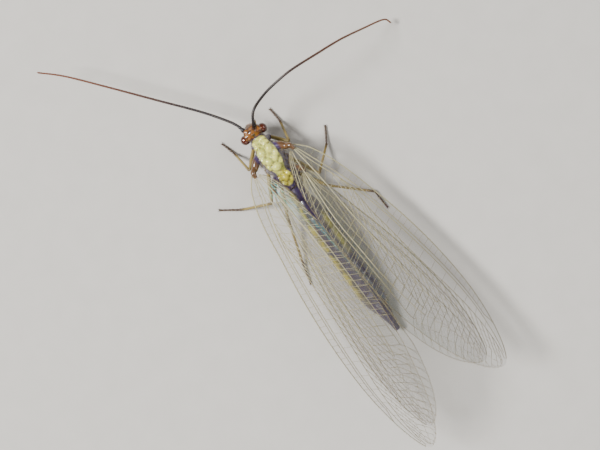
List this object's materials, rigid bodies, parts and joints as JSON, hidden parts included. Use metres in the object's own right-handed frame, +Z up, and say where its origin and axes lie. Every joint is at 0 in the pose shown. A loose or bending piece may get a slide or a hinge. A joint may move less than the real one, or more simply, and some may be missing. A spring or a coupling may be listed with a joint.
{
  "type": "green lacewing",
  "caption": "Life-size still model of a green lacewing at rest, veined wings folded as a roof over the abdomen, long thread feelers swept outwards.",
  "frame": {"origin": "on the floor under the middle of the whole animal's box", "axes": "+Z up, +Y from the head to the wing tips, +X to the animal's left"},
  "size_m": [0.015, 0.0254, 0.0051],
  "materials": {
    "eye": "glossy, dark copper",
    "feeler": "finely haired cuticle, near black to reddish brown",
    "leg": "waxy green to brown cuticle",
    "membrane": "clear membrane with pale veins",
    "abdomen": "satin cuticle, dark violet brown with yellow blotches",
    "head": "amber, waxy",
    "thorax": "cream to yellow green plates on dark purple-brown sides"
  },
  "bodies": {
    "root": {"abdomen": "abdomen", "antenna_base_left": "feeler", "antenna_base_right": "feeler", "antenna_middle_left": "feeler", "antenna_middle_right": "feeler", "antenna_tip_left": "feeler", "antenna_tip_right": "feeler", "eye_left": "eye", "eye_right": "eye", "femur_fore_left": "leg", "femur_fore_right": "leg", "femur_hind_left": "leg", "femur_hind_right": "leg", "femur_mid_left": "leg", "femur_mid_right": "leg", "forewing_left": "membrane", "forewing_right": "membrane", "head": "head", "hindwing_left": "membrane", "hindwing_right": "membrane", "mesothorax": "thorax", "metathorax": "thorax", "mouthparts": "head", "prothorax": "thorax", "scape_left": "feeler", "scape_right": "feeler", "tarsus_fore_left": "leg", "tarsus_fore_right": "leg", "tarsus_hind_left": "leg", "tarsus_hind_right": "leg", "tarsus_mid_left": "leg", "tarsus_mid_right": "leg", "tibia_fore_left": "leg", "tibia_fore_right": "leg", "tibia_hind_left": "leg", "tibia_hind_right": "leg", "tibia_mid_left": "leg", "tibia_mid_right": "leg"}
  },
  "joints": []
}
